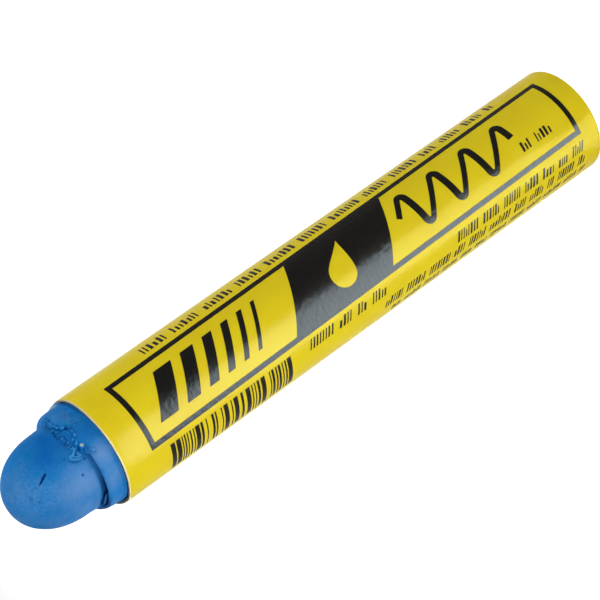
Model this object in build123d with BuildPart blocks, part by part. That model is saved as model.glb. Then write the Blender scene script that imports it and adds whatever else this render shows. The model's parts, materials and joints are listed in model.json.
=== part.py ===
"""Solid paint marking stick: a cast stick of paint in a wrapped card sleeve.

The stick stands on its flat butt end. The origin is at the middle of that end, +Z runs
along the stick towards the nose, and the front of the print faces -Y. Azimuths are degrees
about +Z from +X, so the front is at -90. All lengths are in millimetres.
"""

from build123d import *
from math import atan, cos, degrees, radians, sin, sqrt, tan
import os

os.makedirs("parts", exist_ok=True)

# ---------------------------------------------------------------- driving dimensions
stick_length = 120.65        # butt end to the tip of the nose
sleeve_length = 105.15       # card sleeve and label, butt end to mouth

core_diameter = 17.46        # the bare stick of paint
core_clearance = 0.05        # radial room for the paint in the card tube
tube_wall = 0.60             # wound card
label_thickness = 0.12       # paper with a gloss film
butt_recess = 0.40           # the paint stops short of the sleeve's butt end
butt_chamfer = 0.30          # broken edge of the paint at the butt end
mouth_relief = 0.15          # the card tube's mouth opens by this much, radially
mouth_relief_depth = 1.20

shoulder_height = 3.60       # full-width paint beyond the mouth
shoulder_taper = 0.15        # radius lost between the mouth and the shoulder's front
shoulder_round = 0.40        # rounded front corner of the shoulder
dome_step = 1.175            # the nose is this much smaller than the shoulder, radially
dome_base_height = 5.74      # beyond the mouth, where the nose is widest
neck_flare = 0.20            # the nose spreads by this much, radially, where it meets the shoulder

groove_azimuth = -134.0      # the smooth cut behind the nose is deepest here
groove_depth = 0.70
groove_width = 0.65
groove_mouth = 1.05          # from the groove's root to its open side, along the stick
groove_reach = 76.0          # degrees from its deepest point to where it runs out
groove_shift = 0.25          # the groove bites this far into the neck where it is deepest

lip_azimuth = -22.0          # the torn lip is highest here
lip_height = 1.15
lip_reach = 84.0             # degrees from its highest point to where it runs out
lip_fall = 0.60              # the lip slopes down by this much towards the shoulder's edge
lip_setback = 0.55           # from the shoulder's side to the foot of the slope
lip_bond = 0.30              # the lip runs this far into the neck

crumb_count = 10             # torn crumbs along the lip
crumb_start = -8.0           # azimuth of the first crumb
crumb_pitch = 8.5            # degrees from crumb to crumb
crumb_size = 0.75            # edge of a middling crumb
crumb_flatness = 0.70        # a crumb's thickness, as a share of its edge
crumb_spread = 0.30          # how much the crumbs differ in size, as a share
crumb_scatter = 0.25         # how far they stray from one ring
crumb_turn = 137.5           # each crumb is turned this many degrees from the one before

flash_azimuth = -166.0       # a thin fin of paint stands at the far end of the groove
flash_arc = 16.0
flash_thickness = 0.25
flash_height = 0.95
flash_gap = 0.30             # from the neck to the fin

lap_azimuth = 118.0          # the label's free edge, at the back
lap_width = 3.6              # how far the label laps over itself

ink_thickness = 0.05
frame_mouth_margin = 5.35    # sleeve's mouth to the printed frame
frame_butt_margin = 3.80     # sleeve's butt end to the printed frame
frame_height = 12.95         # round the sleeve, outside the line
frame_line = 0.95
frame_rise = 1.70            # the frame's middle lies this far round from the front line
frame_skew = 0.94            # degrees that the print runs off the stick's axis
band_offset = -3.60          # middle of the black band from the middle of the frame
band_width = 21.30
band_slant = 29.7            # degrees from square
drop_length = 8.4            # clear drop in the band
drop_radius = 2.45
stroke_count = 6             # slanted strokes in the panel at the nose end
stroke_start = -42.6         # from the middle of the frame
stroke_width = 3.60          # the first and widest
stroke_ratio = 0.74          # each is this share of the one before
stroke_gap = 1.90
stroke_height = 7.2
wave_corners = 7             # rounded corners of the drawn line in the panel at the butt end
wave_start = 9.6             # from the middle of the frame
wave_step = 3.75             # from one corner to the next
wave_corner_height = 9.0     # between the upper and lower corners, before rounding
wave_round = 0.80            # radius of those corners, at the middle of the line
wave_lean = 0.30             # the waves lean forwards by this share of their rise
wave_line = 1.15             # width of the line

# ---------------------------------------------------------------- derived sizes
core_radius = core_diameter / 2
bore_radius = core_radius + core_clearance
tube_radius = bore_radius + tube_wall
label_radius = tube_radius + label_thickness

shoulder_radius = core_radius - shoulder_taper
shoulder_z = sleeve_length + shoulder_height
dome_radius = shoulder_radius - dome_step
dome_z = sleeve_length + dome_base_height
dome_height = stick_length - dome_z
quarter_handle = 4 / 3 * (sqrt(2) - 1)   # handle length that makes a quarter of an oval
neck_radius = dome_radius + neck_flare
frame_z = (sleeve_length - frame_mouth_margin + frame_butt_margin) / 2
half_length = (sleeve_length - frame_mouth_margin - frame_butt_margin) / 2
half_height = frame_height / 2
band_lean = tan(radians(band_slant))
lip_edge_radius = shoulder_radius - lip_setback
lip_slope = lip_fall / (lip_edge_radius - neck_radius)
crumb_ring_radius = (neck_radius + lip_edge_radius) / 2
flash_radius = neck_radius + flash_gap


def polar(radius, azimuth):
    """Point at a radius and azimuth in a plane square to the stick."""
    return (radius * cos(radians(azimuth)), radius * sin(radians(azimuth)))


def radial_plane(azimuth):
    """Plane that holds the stick's axis: its x runs outwards and its y along the stick."""
    x_dir = (*polar(1, azimuth), 0)
    z_dir = (sin(radians(azimuth)), -cos(radians(azimuth)), 0)
    return Plane(origin=(0, 0, 0), x_dir=x_dir, z_dir=z_dir)


def crescent_plane(azimuth, height, depth, reach, shift=0.0):
    """Plane for a ring that lies lowest at one azimuth, `depth` below `height` there.

    Turned about this plane's y axis, the ring crosses `height` at `reach` degrees either
    side of that azimuth. A negative depth makes that side the highest instead. `shift`
    moves the ring's middle away from that side.
    """
    swing = depth / (1 - cos(radians(reach)))
    tilt = atan(swing / neck_radius)
    outwards = Vector(*polar(1, azimuth))
    return Plane(
        origin=outwards * -shift + Vector(0, 0, height - depth + swing),
        x_dir=outwards * cos(tilt) - Vector(0, 0, 1) * sin(tilt),
        z_dir=Vector(outwards.Y, -outwards.X),
    )


def lip_surface_z(azimuth):
    """Height of the middle of the torn lip's slope, or of the shoulder where there is none."""
    run_out = cos(radians(lip_reach))
    rise = (cos(radians(azimuth - lip_azimuth)) - run_out) / (1 - run_out)
    return shoulder_z + max(0.0, rise) * lip_height / 2


def on_label(across, up):
    """Point of the print, in the sketch plane in front of the stick that is wrapped back.

    `across` runs in reading direction, from the nose to the butt, and `up` runs round the
    stick, both from the middle of the printed frame and along the label's face.
    """
    skew = radians(frame_skew)
    z = frame_z - across * cos(skew) + up * sin(skew)
    arc = frame_rise + across * sin(skew) + up * cos(skew)
    return (label_radius * sin(arc / label_radius), z)


# ---------------------------------------------------------------- the stick of paint
with BuildPart() as paint_core:
    with BuildSketch(Plane.XZ) as half_section:
        with BuildLine():
            butt = Line((0, butt_recess), (core_radius, butt_recess))
            side = Line(butt @ 1, (core_radius, sleeve_length))
            taper = Line(side @ 1, (shoulder_radius, shoulder_z))
            front = Line(taper @ 1, (neck_radius, shoulder_z))
            dome = Bezier(
                (dome_radius, dome_z),
                (dome_radius, dome_z + quarter_handle * dome_height),
                (quarter_handle * dome_radius, stick_length),
                (0, stick_length),
            )
            TangentArc(dome @ 0, front @ 1, tangent=(0, -1))
            Line(dome @ 1, butt @ 0)
        make_face()
        butt_corner = half_section.vertices().sort_by_distance((core_radius, butt_recess))[0]
        chamfer(butt_corner, butt_chamfer)
        shoulder_corner = half_section.vertices().sort_by_distance((shoulder_radius, shoulder_z))[0]
        fillet(shoulder_corner, shoulder_round)
    revolve(axis=Axis.Z)

    # Smooth groove: a crescent cut that undercuts the shoulder behind the nose.
    groove_plane = crescent_plane(
        groove_azimuth, shoulder_z, groove_depth, groove_reach, groove_shift
    )
    with BuildSketch(groove_plane) as groove_section:
        with BuildLine():
            Polyline(
                (neck_radius + groove_shift / 2, 0),
                (neck_radius + groove_width, groove_mouth),
                (neck_radius + groove_shift, groove_mouth + groove_shift),
                close=True,
            )
        make_face()
    revolve(axis=Axis(groove_plane.origin, groove_plane.y_dir), mode=Mode.SUBTRACT)

    # Torn lip: a sloping crescent that fills the corner between the shoulder and the nose.
    lip_plane = crescent_plane(lip_azimuth, shoulder_z, -lip_height, lip_reach)
    with BuildSketch(lip_plane) as lip_section:
        with BuildLine():
            Polyline(
                (neck_radius - lip_bond, -lip_fall - lip_height),
                (lip_edge_radius, -lip_fall - lip_height),
                (lip_edge_radius, -lip_fall),
                (neck_radius - lip_bond, lip_bond * lip_slope),
                close=True,
            )
        make_face()
    revolve(axis=Axis(lip_plane.origin, lip_plane.y_dir))

    # Flash: a thin fin of paint left standing at the far end of the groove.
    with BuildSketch(radial_plane(flash_azimuth - flash_arc / 2)):
        with BuildLine():
            Polyline(
                (flash_radius, shoulder_z - groove_depth),
                (flash_radius + flash_thickness, shoulder_z - groove_depth),
                (flash_radius, shoulder_z - groove_depth + flash_height),
                close=True,
            )
        make_face()
    revolve(axis=Axis.Z, revolution_arc=flash_arc)

    # Crumbs: torn grains of paint that break up the lip, no two alike.
    for number in range(crumb_count):
        azimuth = crumb_start - number * crumb_pitch
        turn = number * crumb_turn
        size = crumb_size * (1 + crumb_spread * sin(radians(turn)))
        inwards = crumb_scatter * cos(radians(turn))
        foot = (*polar(crumb_ring_radius - inwards, azimuth), lip_surface_z(azimuth) + inwards / 2)
        with Locations(Location(foot, (turn, turn / 2, azimuth))):
            Box(size, size, size * crumb_flatness)

paint_core.part.label = "paint_core"
export_step(paint_core.part, "parts/paint_core.step")

# ---------------------------------------------------------------- the card tube
with BuildPart() as card_tube:
    with BuildSketch(Plane.XZ):
        with BuildLine():
            Polyline(
                (bore_radius, 0),
                (tube_radius, 0),
                (tube_radius, sleeve_length),
                (bore_radius + mouth_relief, sleeve_length),
                (bore_radius, sleeve_length - mouth_relief_depth),
                close=True,
            )
        make_face()
    revolve(axis=Axis.Z)

card_tube.part.label = "card_tube"
export_step(card_tube.part, "parts/card_tube.step")

# ---------------------------------------------------------------- the wrapped label
lap_turn = degrees(lap_width / label_radius)
lap_end = lap_azimuth + lap_turn

with BuildPart() as wrapped_label:
    with BuildSketch():
        Circle(label_radius)
        # The lap lies on the turn below it and runs smoothly back down to it.
        with BuildLine():
            Line(polar(tube_radius, lap_azimuth), polar(label_radius + label_thickness, lap_azimuth))
            ThreePointArc(
                polar(label_radius + label_thickness, lap_azimuth),
                polar(label_radius + label_thickness * 0.9, lap_azimuth + lap_turn / 2),
                polar(label_radius, lap_end),
            )
            Line(polar(label_radius, lap_end), polar(tube_radius, lap_end))
            Line(polar(tube_radius, lap_end), polar(tube_radius, lap_azimuth))
        make_face()
        Circle(tube_radius, mode=Mode.SUBTRACT)
    extrude(amount=sleeve_length)

wrapped_label.part.label = "wrapped_label"
export_step(wrapped_label.part, "parts/wrapped_label.step")

# ---------------------------------------------------------------- the black print
def frame_face(inset):
    """Rectangle `inset` inside the outer edge of the frame's line."""
    across = half_length - inset
    up = half_height - inset
    corners = [(-across, -up), (-across, up), (across, up), (across, -up)]
    with BuildSketch() as face:
        with BuildLine():
            Polyline(*[on_label(*corner) for corner in corners], close=True)
        make_face()
    return face.sketch


def slanted_bar(middle, width, half_rise):
    """Bar that leans with the band. Its sides are arcs because the sheet is wrapped."""
    rises = (-half_rise, 0, half_rise)
    left = [on_label(middle - width / 2 + rise * band_lean, rise) for rise in rises]
    right = [on_label(middle + width / 2 + rise * band_lean, rise) for rise in rises]
    with BuildSketch() as bar:
        with BuildLine():
            ThreePointArc(*left)
            Line(left[2], right[2])
            ThreePointArc(*right)
            Line(right[0], left[0])
        make_face()
    return bar.sketch


def drop_face():
    """Drop that leans with the band: an oval foot drawn up to a point."""
    foot = drop_radius - drop_length / 2
    handle = quarter_handle * drop_radius

    def spot(along, side):
        slant = radians(band_slant)
        across = band_offset + along * sin(slant) + side * cos(slant)
        return on_label(across, along * cos(slant) - side * sin(slant))

    with BuildSketch() as drop:
        with BuildLine():
            for side in (-1, 1):
                Bezier(
                    spot(foot - drop_radius, 0),
                    spot(foot - drop_radius, side * handle),
                    spot(foot - handle, side * drop_radius),
                    spot(foot, side * drop_radius),
                )
                Bezier(
                    spot(foot, side * drop_radius),
                    spot(foot + handle, side * drop_radius),
                    spot(drop_length / 4, side * drop_radius / 4),
                    spot(drop_length / 2, 0),
                )
        make_face()
    return drop.sketch


def wave_face():
    """Drawn line in rounded waves, as a marker leaves it."""
    points = [on_label(wave_start, 0)]
    for number in range(wave_corners):
        rise = wave_corner_height / 2 * (-1) ** number
        across = wave_start + (number + 0.5) * wave_step + rise * wave_lean
        points.append(on_label(across, rise))
    points.append(on_label(wave_start + wave_corners * wave_step, 0))
    with BuildSketch() as wave:
        with BuildLine():
            FilletPolyline(*points, radius=wave_round)
            offset(amount=wave_line / 2, side=Side.BOTH)
        make_face()
    return wave.sketch


with BuildPart() as black_print:
    with BuildSketch(Plane.XZ):
        add(frame_face(0))
        add(frame_face(frame_line), mode=Mode.SUBTRACT)
        add(slanted_bar(band_offset, band_width, half_height - frame_line))
        add(drop_face(), mode=Mode.SUBTRACT)
        stroke_edge = stroke_start
        for number in range(stroke_count):
            width = stroke_width * stroke_ratio**number
            add(slanted_bar(stroke_edge + width / 2, width, stroke_height / 2))
            stroke_edge += width + stroke_gap
        add(wave_face())
    extrude(amount=label_radius + ink_thickness)
    with BuildSketch(mode=Mode.PRIVATE) as film_ring:
        Circle(label_radius + ink_thickness)
        Circle(label_radius, mode=Mode.SUBTRACT)
    extrude(film_ring.sketch, amount=sleeve_length, mode=Mode.INTERSECT)

black_print.part.label = "black_print"
export_step(black_print.part, "parts/black_print.step")
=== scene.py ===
import json
from math import cos, pi, radians, sin, tan

import bpy
import numpy as np
from mathutils import Matrix, Vector
from mathutils.geometry import delaunay_2d_cdt


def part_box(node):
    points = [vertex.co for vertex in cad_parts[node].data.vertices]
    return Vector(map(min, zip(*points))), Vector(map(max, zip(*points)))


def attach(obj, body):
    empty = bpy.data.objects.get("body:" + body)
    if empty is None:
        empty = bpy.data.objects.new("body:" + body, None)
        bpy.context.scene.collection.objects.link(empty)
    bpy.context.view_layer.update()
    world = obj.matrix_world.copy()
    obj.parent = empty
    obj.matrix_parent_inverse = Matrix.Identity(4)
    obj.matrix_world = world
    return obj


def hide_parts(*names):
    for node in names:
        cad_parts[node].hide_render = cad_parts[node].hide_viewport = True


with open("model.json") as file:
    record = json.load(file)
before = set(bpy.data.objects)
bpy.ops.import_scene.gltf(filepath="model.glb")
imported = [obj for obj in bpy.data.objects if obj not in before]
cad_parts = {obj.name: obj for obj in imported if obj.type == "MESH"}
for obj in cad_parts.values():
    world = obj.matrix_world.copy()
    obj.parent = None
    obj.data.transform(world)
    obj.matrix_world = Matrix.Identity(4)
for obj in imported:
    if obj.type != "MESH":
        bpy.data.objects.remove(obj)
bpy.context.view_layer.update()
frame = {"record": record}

# Lengths are in millimetres in this script, and meshes are made in metres.
MM = 0.001
_, label_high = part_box("wrapped_label")
paint_low, paint_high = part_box("paint_core")
LABEL_RADIUS = next(m["dims"]["r_mm"] for m in frame["record"]["mounts"] if m["kind"] == "pin")
MOUTH = label_high.z / MM  # height of the sleeve's mouth
TIP = paint_high.z / MM  # height of the nose's tip
BUTT = paint_low.z / MM  # the paint stops short of the sleeve's end
CORE_RADIUS = paint_high.x / MM


# ---------- numbers and shapes
def length(vectors):
    return np.linalg.norm(vectors, axis=-1)


def unit(vectors):
    return vectors / np.maximum(length(vectors), 1e-9)[..., None]


def polar(radius, turn, height):
    """Points at radii, turned in radians round the stick's axis, and at heights."""
    radius, turn, height = np.broadcast_arrays(radius, turn, height)
    return np.stack([radius * np.cos(turn), radius * np.sin(turn), height], -1)


def pairs(loop):
    """Each item with the next one, and the last with the first."""
    return zip(loop, [*loop[1:], loop[0]])


def repeated(table, cell):
    """Values of a table that repeats for ever, at numbered cells."""
    return table[tuple(np.moveaxis(cell % len(table), -1, 0))]


def noise3(points, size, seed):
    """Smooth noise from -1 to 1 at points, with lumps about `size` across."""
    lattice = np.random.default_rng(seed).uniform(-1, 1, (32, 32, 32))
    cell = np.floor(points / size).astype(int)
    part = points / size - cell
    part = part * part * (3 - 2 * part)
    total = np.zeros(points.shape[:-1])
    for corner in np.ndindex(2, 2, 2):
        weight = np.prod(np.where(corner, part, 1 - part), axis=-1)
        total += weight * repeated(lattice, cell + corner)
    return total


def grains3(points, size, seed):
    """1 in the middle of each grain, falling to 0 in the creases between grains."""
    spots = np.random.default_rng(seed).uniform(0.1, 0.9, (16, 16, 16, 3))
    cell = np.floor(points / size).astype(int)
    nearest = second = np.full(points.shape[:-1], np.inf)
    for step in np.ndindex(3, 3, 3):
        other = cell + step - 1
        away = length(points / size - other - repeated(spots, other))
        second = np.minimum(second, np.maximum(nearest, away))
        nearest = np.minimum(nearest, away)
    steepness = 2.2
    return np.clip(steepness * (second - nearest), 0, 1)


def layered_noise(points, *layers):
    """Noises added up, each given as its height, the size of its lumps and its seed."""
    return sum(height * noise3(points, size, seed) for height, size, seed in layers)


def bell(distance, width):
    """1 at no distance, falling smoothly to about a third at `width`."""
    return np.exp(-((distance / width) ** 2))


def ramp(value, start, end):
    """0 before start, 1 after end, and smooth between them."""
    share = np.clip((value - start) / (end - start), 0, 1)
    return share * share * (3 - 2 * share)


def through(knots, values, x):
    """Smooth curve through the points (knots, values), at x."""
    knots, values = np.asarray(knots, float), np.asarray(values, float)
    slope = np.gradient(values, knots)
    i = np.clip(np.searchsorted(knots, x) - 1, 0, len(knots) - 2)
    gap = knots[i + 1] - knots[i]
    t = (x - knots[i]) / gap
    return (
        (2 * t**3 - 3 * t**2 + 1) * values[i]
        + (t**3 - 2 * t**2 + t) * gap * slope[i]
        + (3 * t**2 - 2 * t**3) * values[i + 1]
        + (t**3 - t**2) * gap * slope[i + 1]
    )


def around(azimuth, middle):
    """Degrees from `middle`, from -180 to 180."""
    return (azimuth - middle + 180) % 360 - 180


def away_from_line(points, line):
    """Distance of each point from a line of spots, and how far along it, from 0 to 1."""
    best = np.full(points.shape[:-1], np.inf)
    along = np.zeros(points.shape[:-1])
    for number, (a, b) in enumerate(zip(line[:-1], line[1:])):
        t = np.clip(((points - a) @ (b - a)) / ((b - a) @ (b - a)), 0, 1)
        d = length(points - a - t[..., None] * (b - a))
        closer = d < best
        best = np.where(closer, d, best)
        along = np.where(closer, (number + t) / (len(line) - 1), along)
    return best, along


# ---------- meshes
def in_scene(name, data):
    thing = bpy.data.objects.new(name, data)
    bpy.context.scene.collection.objects.link(thing)
    return thing


def mesh_piece(name, points, faces, material):
    mesh = bpy.data.meshes.new(name)
    mesh.from_pydata((np.asarray(points) * MM).tolist(), [], faces)
    mesh.validate()
    mesh.materials.append(material)
    return in_scene(name, mesh)


def piece_of(name, points, faces, material, replaces):
    """Smooth piece, riding on the one body of the stick."""
    piece = mesh_piece(name, points, faces, material)
    piece.data.shade_smooth()
    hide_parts(*replaces)
    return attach(piece, "root")


def grid_faces(rings, columns, closed=False):
    """Quads between rings round the axis. Where closed, the last ring joins the first."""
    row = np.arange(rings - 1 + closed)[:, None] * columns
    a = np.arange(columns)[None, :]
    b = (a + 1) % columns
    quads = np.stack([row + a, row + b, row + columns + b, row + columns + a], axis=-1)
    return (quads % (rings * columns)).reshape(-1, 4).tolist()


def fan(ring, centre, upwards):
    """Triangles from one ring of point numbers to a centre point."""
    return [(a, b, centre) if upwards else (b, a, centre) for a, b in pairs(ring)]


def paint_piece(name, points, faces, material, marks):
    """Piece of paint with its marks: one colour to a point, as plain numbers."""
    piece = piece_of(name, points, faces, material, ["paint_core"])
    attribute = piece.data.color_attributes.new("marks", "FLOAT_COLOR", "POINT")
    attribute.data.foreach_set("color", np.asarray(marks, np.float32).ravel())


# ---------- materials
class Nodes:
    """Short way to write the nodes of a material, or of a world."""

    def __init__(self, name, kind="materials"):
        self.owner = getattr(bpy.data, kind).new(name)
        self.owner.use_nodes = True
        self.tree = self.owner.node_tree

    def put(self, socket, value):
        """Links or sets a socket. A plain colour is red, green and blue."""
        if isinstance(value, bpy.types.NodeSocket):
            self.tree.links.new(value, socket)
        else:
            socket.default_value = (*value, 1) if socket.type == "RGBA" else value

    def add(self, kind, inputs=None, **settings):
        """New node, with its inputs and settings. Gives its outputs."""
        node = self.tree.nodes.new("ShaderNode" + kind)
        for key, value in settings.items():
            setattr(node, key, value)
        for key, value in (inputs or {}).items():
            self.put(node.inputs[key], value)
        return node.outputs

    def place(self, stretch=(1, 1, 1)):
        """The object's own coordinates in metres, stretched along x, y and z if asked."""
        place = self.add("TexCoord")["Object"]
        return self.add("Mapping", {"Vector": place, "Scale": stretch})[0]

    def noise(self, scale, detail, roughness, stretch=(1, 1, 1)):
        inputs = {"Scale": scale, "Detail": detail, "Roughness": roughness}
        return self.add("TexNoise", {"Vector": self.place(stretch), **inputs})["Fac"]

    def between(self, value, low, high):
        """0 at low and 1 at high."""
        return self.add("MapRange", {"Value": value, "From Min": low, "From Max": high})["Result"]

    def spread(self, value, low, high):
        """Low where the value is 0, high where it is 1."""
        return self.add("MapRange", {"Value": value, "To Min": low, "To Max": high})["Result"]

    def math(self, operation, a, b=0.0):
        return self.add("Math", {0: a, 1: b}, operation=operation)[0]

    def times(self, a, b):
        return self.math("MULTIPLY", a, b)

    def mix(self, share, a, b):
        """Colour a where share is 0, b where it is 1."""
        return self.add("Mix", {0: share, 6: a, 7: b}, data_type="RGBA")[2]

    def bump(self, height, distance, before=None, strength=0.5):
        inputs = {"Height": height, "Distance": distance, "Strength": strength}
        if before is not None:
            inputs["Normal"] = before
        return self.add("Bump", inputs)["Normal"]

    def glow(self, colour, strength):
        return self.add("Emission", {"Color": colour, "Strength": strength})[0]

    def surface(self, **inputs):
        """Sets sockets of the shader, named with _ for a space. Gives the material."""
        shader = self.tree.nodes["Principled BSDF"]
        for key, value in inputs.items():
            self.put(shader.inputs[key.replace("_", " ")], value)
        return self.owner

    def output(self, shader):
        self.put(self.tree.nodes["Material Output"].inputs["Surface"], shader)
        return self.owner


# ---------- the stick of paint
# Outline of the nose above the mouth: distance along the outline, then radii and heights.
# It blends four shapes of the shoulder's step: a plain step, torn paint left in the step as
# a slope, a groove between the shoulder and the neck, and a wider groove.
OUTLINE_RUN = (0, 1.6, 3.0, 3.45, 3.85, 4.2, 4.5, 4.9, 5.4, 6.59)
STEP = (
    (8.78, 8.79, 8.58, 8.42, 8.18, 7.88, 7.72, 7.6, 7.5, 7.41),
    (0, 1.6, 2.62, 2.9, 3.13, 3.32, 3.45, 3.66, 4.3, 5.74),
)
SLOPE = (
    (8.7, 8.74, 8.6, 8.43, 8.14, 7.82, 7.6, 7.5, 7.47, 7.41),
    (0, 1.6, 2.92, 3.26, 3.54, 3.76, 3.95, 4.24, 4.8, 5.74),
)
GROOVE = (
    (8.66, 8.7, 8.58, 8.42, 8.2, 7.88, 7.56, 7.44, 7.47, 7.41),
    (0, 1.6, 2.86, 3.1, 3.04, 2.76, 2.7, 3.1, 4.0, 5.74),
)
WIDE_GROOVE = (
    (8.66, 8.68, 8.56, 8.4, 8.1, 7.72, 7.3, 7.18, 7.46, 7.41),
    (0, 1.6, 2.84, 3.06, 2.9, 2.35, 2.28, 3.1, 4.15, 5.74),
)
NECK_RUN = OUTLINE_RUN[-1]
NECK_RADIUS = STEP[0][-1]
NECK_ABOVE = STEP[1][-1]
DOME_BLUNTNESS = 2.12  # 2 is an ellipse
SHOULDER_SHIFT = 0.13  # the shoulder stands this much off the neck's axis
SHOULDER_TRIM = 0.05  # and is this much slimmer than its outlines
# Azimuths in degrees of the middle of the slope, of the groove and of the mouth's flare.
SLOPE_AT, GROOVE_AT, FLARE_AT = -20, -134, 10
# Paint squeezed out over the card's end on one side: how far, how high, how many degrees.
FLARE, FLARE_HEIGHT, FLARE_WIDTH = 0.54, 0.75, 38
# The nose's grid: start, end and step of each stretch, finer where the paint is torn.
AZIMUTHS = ((-108, -3, 0.48), (-3, 252, 1.08))
RUNS = ((-0.9, 2.64, 0.12), (2.7, 6.6, 0.066))
DOME_STEP = 0.14
LAST_STEPS = (0.42, 0.3, 0.2, 0.1)  # distances from the tip


def out_of_sleeve(run):
    """0 inside the sleeve and 1 above it."""
    return ramp(run, 0.02, 0.5)[:, None]


def dome():
    """Distances along the outline from the neck to the tip, and their radii and heights."""
    turns, power = np.linspace(0, pi / 2, 400), 2 / DOME_BLUNTNESS
    dome_height = TIP - MOUTH - NECK_ABOVE
    radius = NECK_RADIUS * np.cos(turns) ** power
    above = NECK_ABOVE + dome_height * np.sin(turns) ** power
    lengths = np.hypot(np.diff(radius), np.diff(above))
    return NECK_RUN + np.concatenate([[0], np.cumsum(lengths)]), (radius, above)


def shares_of_shapes(azimuth, run):
    """How much slope, how much groove, and how wide a groove, from 0 to 1."""
    along_run = np.stack([run, run * 0, run * 0 + 3], -1)
    ragged = 5 * noise3(along_run, 0.7, 4)[:, None]
    from_slope = around(azimuth, SLOPE_AT)[None, :] + ragged
    from_groove = around(azimuth, GROOVE_AT)[None, :]
    slope = ramp(from_slope, -74, -60) * (1 - ramp(from_slope, 64, 84))
    groove = (1 - slope) * (1 - ramp(from_groove, 50, 76)) * ramp(from_groove, -44, -28)
    return slope, groove, 1 - ramp(from_groove, -10, 22)


def nose_outline():
    """Azimuths, distances along the outline, (radius, height) for both, and the groove."""
    azimuth = np.concatenate([np.arange(*stretch) for stretch in AZIMUTHS])
    dome_run, dome_shape = dome()
    tip = dome_run[-1]
    stretches = (*RUNS, (RUNS[-1][1], tip - 0.5, DOME_STEP))
    run = np.concatenate([np.arange(*stretch) for stretch in stretches])
    run = np.append(run, tip - np.array(LAST_STEPS))
    slope_share, groove_share, wide = shares_of_shapes(azimuth, run)
    outline = np.zeros((len(run), len(azimuth), 2))
    for part in (0, 1):
        plain, slope, groove, wide_groove = (
            through(OUTLINE_RUN, shape[part], np.clip(run, 0, NECK_RUN))[:, None]
            for shape in (STEP, SLOPE, GROOVE, WIDE_GROOVE)
        )
        on_dome = np.interp(run, dome_run, dome_shape[part])[:, None]
        base = plain * (1 - slope_share - groove_share) + slope * slope_share
        base = base + (groove * (1 - wide) + wide_groove * wide) * groove_share
        outline[..., part] = np.where(run[:, None] > NECK_RUN, on_dome, base)
    inside = run < 0
    outline[inside, :, 0] = CORE_RADIUS
    outline[inside, :, 1] = run[inside, None]
    above = outline[..., 1]
    shoulder = out_of_sleeve(run) * (1 - ramp(run, 3.2, 4.5)[:, None])
    shift = SHOULDER_SHIFT * np.cos(np.radians(azimuth)) - SHOULDER_TRIM
    outline[..., 0] += shift * shoulder
    flare = FLARE * bell(around(azimuth, FLARE_AT), FLARE_WIDTH)
    outline[..., 0] += np.where(above > 0, flare * bell(above, FLARE_HEIGHT), 0)
    return azimuth, run, outline, groove_share


class Nose:
    """The nose as a grid of points, and how far its features lift each point.

    A place on it is its azimuth in degrees, its height above the mouth and its radius.
    """

    def __init__(self):
        self.azimuth, self.run, outline, self.groove_share = nose_outline()
        self.turn = np.radians(self.azimuth)
        self.radius, self.above = outline[..., 0], outline[..., 1]
        self.points = polar(self.radius, self.turn, MOUTH + self.above)
        self.lift, self.torn, self.pale = np.zeros((3, *self.above.shape))

    def at(self, azimuth, above, radius):
        """The surface's point nearest to that place."""
        away = length(self.points - polar(radius, radians(azimuth), MOUTH + above))
        return self.points.reshape(-1, 3)[away.argmin()]

    def line(self, *places):
        """Smooth line of points on the surface, through those places."""
        knots = np.array([self.at(*place) for place in places])
        steps = np.linspace(0, len(knots) - 1, 4 * len(knots) - 3)
        curves = [through(range(len(knots)), knots[:, axis], steps) for axis in range(3)]
        return list(np.stack(curves, -1))

    def near(self, place, width):
        """1 at that place of the surface, falling to 0 round it."""
        return bell(length(self.points - place), width)

    def along(self, *places):
        """How far points are from the line through those places, and how far along it."""
        return away_from_line(self.points, self.line(*places))

    def bump(self, height, share=1.0):
        self.lift = self.lift + height * share

    def ridge(self, height, width, *places):
        """A ridge along those places, or a furrow where the height is below 0."""
        self.bump(height * bell(self.along(*places)[0], width))

    def press(self):
        """Moves the points by the lift gathered so far, square to the surface."""
        climb = np.gradient(self.points, axis=0)
        sweep = np.roll(self.points, -1, axis=1) - np.roll(self.points, 1, axis=1)
        normal = unit(np.cross(sweep, climb))
        self.points = self.points + (self.lift * out_of_sleeve(self.run))[..., None] * normal

    def tear(self, share):
        """Marks points as torn."""
        self.torn = np.maximum(self.torn, share)


def lumps(points, places, widths, heights):
    """Overlapping round grains standing out of the surface, with creases between them."""
    top = np.zeros(points.shape[:-1])
    for place, width, height in zip(places, widths, heights):
        away = length(points - place) / width
        top = np.maximum(top, height * np.sqrt(np.clip(1 - away**2, 0, 1)))
    return top


def cast_unevenly(nose):
    """Waves of the casting, a rougher patch on the dome, and the rough ground of the tear."""
    nose.bump(layered_noise(nose.points, (0.045, 3.4, 11), (0.018, 1.3, 12)))
    patch = nose.near(nose.at(-92, 13.2, 4.8), 4.6)
    nose.bump(layered_noise(nose.points, (0.012, 0.42, 15), (0.012, 0.8, 16)), 0.25 + patch)
    tear = bell(around(nose.azimuth[None, :], -32), 62) * bell(nose.above - 4.2, 0.7)
    nose.bump(layered_noise(nose.points, (0.07, 1.1, 13), (0.06, 0.5, 14)), tear)
    nose.press()
    nose.lift = np.zeros(nose.above.shape)


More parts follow.
